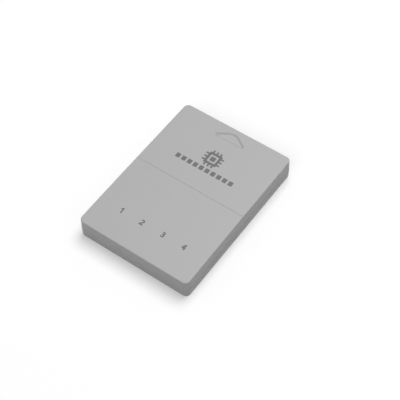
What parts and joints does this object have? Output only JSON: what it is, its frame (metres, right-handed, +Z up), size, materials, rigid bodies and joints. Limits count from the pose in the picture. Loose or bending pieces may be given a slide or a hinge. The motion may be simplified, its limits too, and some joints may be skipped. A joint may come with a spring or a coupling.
{
  "type": "console memory card",
  "caption": "Flat rectangular plug-in memory card for a game console: two light grey plastic shells round a circuit board, with open contact bays under the insertion end.",
  "frame": {"origin": "middle of the underside", "axes": "+Y along the card's length to the end that goes into the console, +X across its width, +Z up through the printed face"},
  "size_m": [0.0432, 0.06, 0.008],
  "materials": {
    "case_plastic": "satin",
    "print_ink": "satin",
    "board_laminate": "satin",
    "contact_gold": "polished",
    "chip_epoxy": "matte",
    "resistor_ceramic": "satin",
    "capacitor_ceramic": "satin",
    "reservoir_resin": "matte",
    "resonator_metal": "satin",
    "lamp_resin": "satin",
    "screw_steel": "satin"
  },
  "bodies": {
    "root": {"top_shell": "case_plastic", "bottom_shell": "case_plastic", "circuit_board": "board_laminate", "contact_1": "contact_gold", "contact_2": "contact_gold", "contact_3": "contact_gold", "contact_4": "contact_gold", "contact_5": "contact_gold", "contact_6": "contact_gold", "contact_7": "contact_gold", "contact_8": "contact_gold", "controller_chip": "chip_epoxy", "memory_chip": "chip_epoxy", "lamp_resistor_1": "resistor_ceramic", "lamp_resistor_2": "resistor_ceramic", "lamp_resistor_3": "resistor_ceramic", "lamp_resistor_4": "resistor_ceramic", "line_resistor_1": "resistor_ceramic", "line_resistor_2": "resistor_ceramic", "bypass_capacitor_1": "capacitor_ceramic", "bypass_capacitor_2": "capacitor_ceramic", "reservoir_capacitor": "reservoir_resin", "resonator": "resonator_metal", "lamp_1": "lamp_resin", "lamp_2": "lamp_resin", "lamp_3": "lamp_resin", "lamp_4": "lamp_resin", "case_screws": "screw_steel"}
  },
  "joints": []
}
